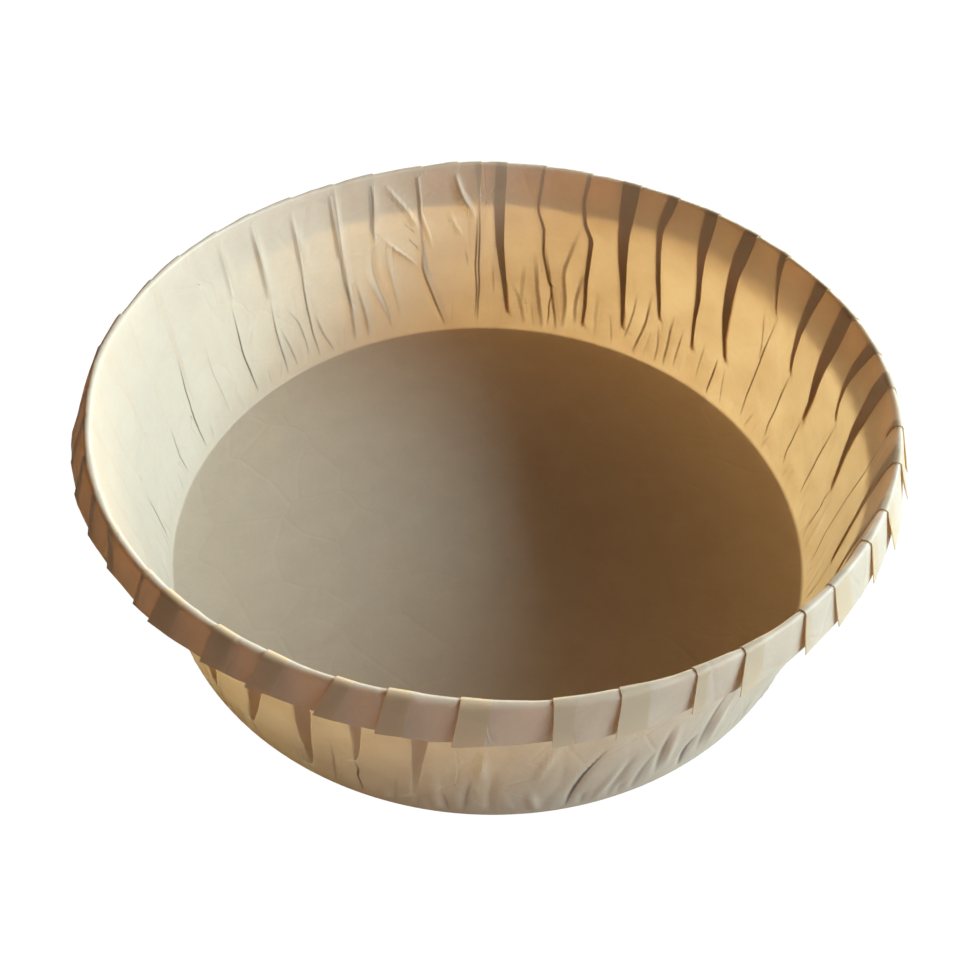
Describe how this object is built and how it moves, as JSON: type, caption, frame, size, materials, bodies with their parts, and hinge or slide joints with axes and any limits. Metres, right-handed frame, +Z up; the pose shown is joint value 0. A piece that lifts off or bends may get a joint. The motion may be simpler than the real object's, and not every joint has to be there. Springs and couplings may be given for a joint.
{
  "type": "paper cheesecake mold",
  "caption": "Round baking mold pressed from one sheet of brown paper, with a flat floor, a steep pleated wall and a rim folded out and down as a band.",
  "frame": {"origin": "centre of the floor's underside, on the surface that the mold stands on", "axes": "+Z up through the open mouth; -Y faces the viewer, and X and Y run across the mouth"},
  "size_m": [0.1851, 0.1845, 0.0563],
  "materials": {
    "kraft_paper": "smooth brown baking paper, slightly see-through to light, darker where it lies in several layers"
  },
  "bodies": {
    "root": {"mold": "kraft_paper"}
  },
  "joints": []
}
